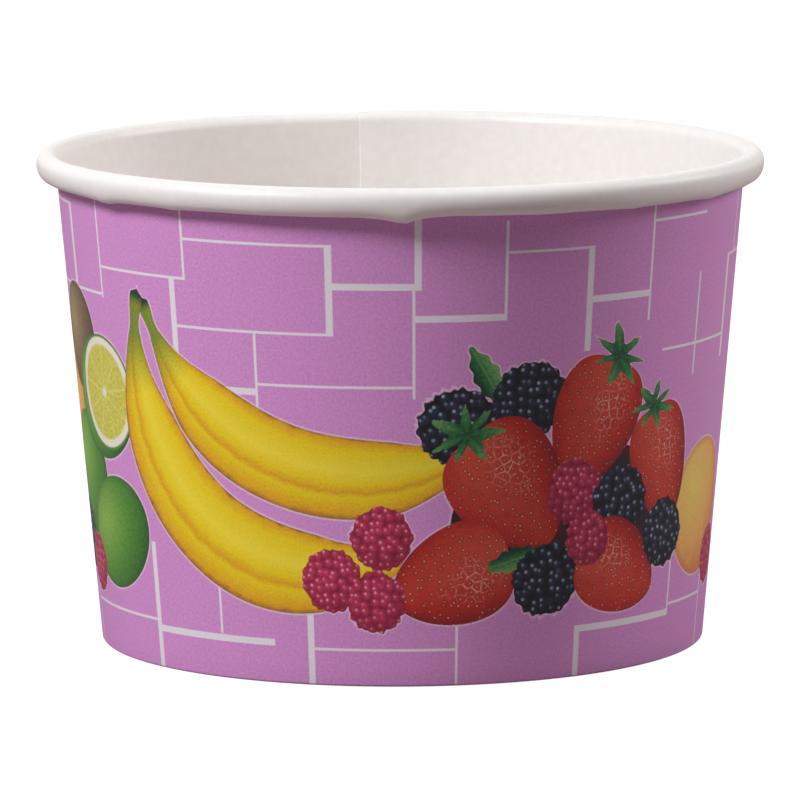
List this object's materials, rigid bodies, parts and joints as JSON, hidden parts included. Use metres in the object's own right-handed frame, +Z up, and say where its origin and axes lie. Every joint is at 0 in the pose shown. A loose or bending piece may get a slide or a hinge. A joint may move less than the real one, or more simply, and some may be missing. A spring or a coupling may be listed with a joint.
{
  "type": "paper dessert cup",
  "caption": "Tapered paper cup for ice cream or dessert, with a rolled rim, a lapped side seam, an inset base disc and a fruit print over pale tile lines.",
  "frame": {"origin": "on the cup's axis, at the surface that the cup stands on", "axes": "+Z up along the cup's axis, -Y towards the front, with the side seam at the back"},
  "size_m": [0.092, 0.092, 0.0623],
  "materials": {
    "printed_paperboard": "satin coated board, lilac print outside, white inside",
    "white_paperboard": "satin coated white board"
  },
  "bodies": {
    "root": {"sidewall": "printed_paperboard", "base_disc": "white_paperboard"}
  },
  "joints": []
}
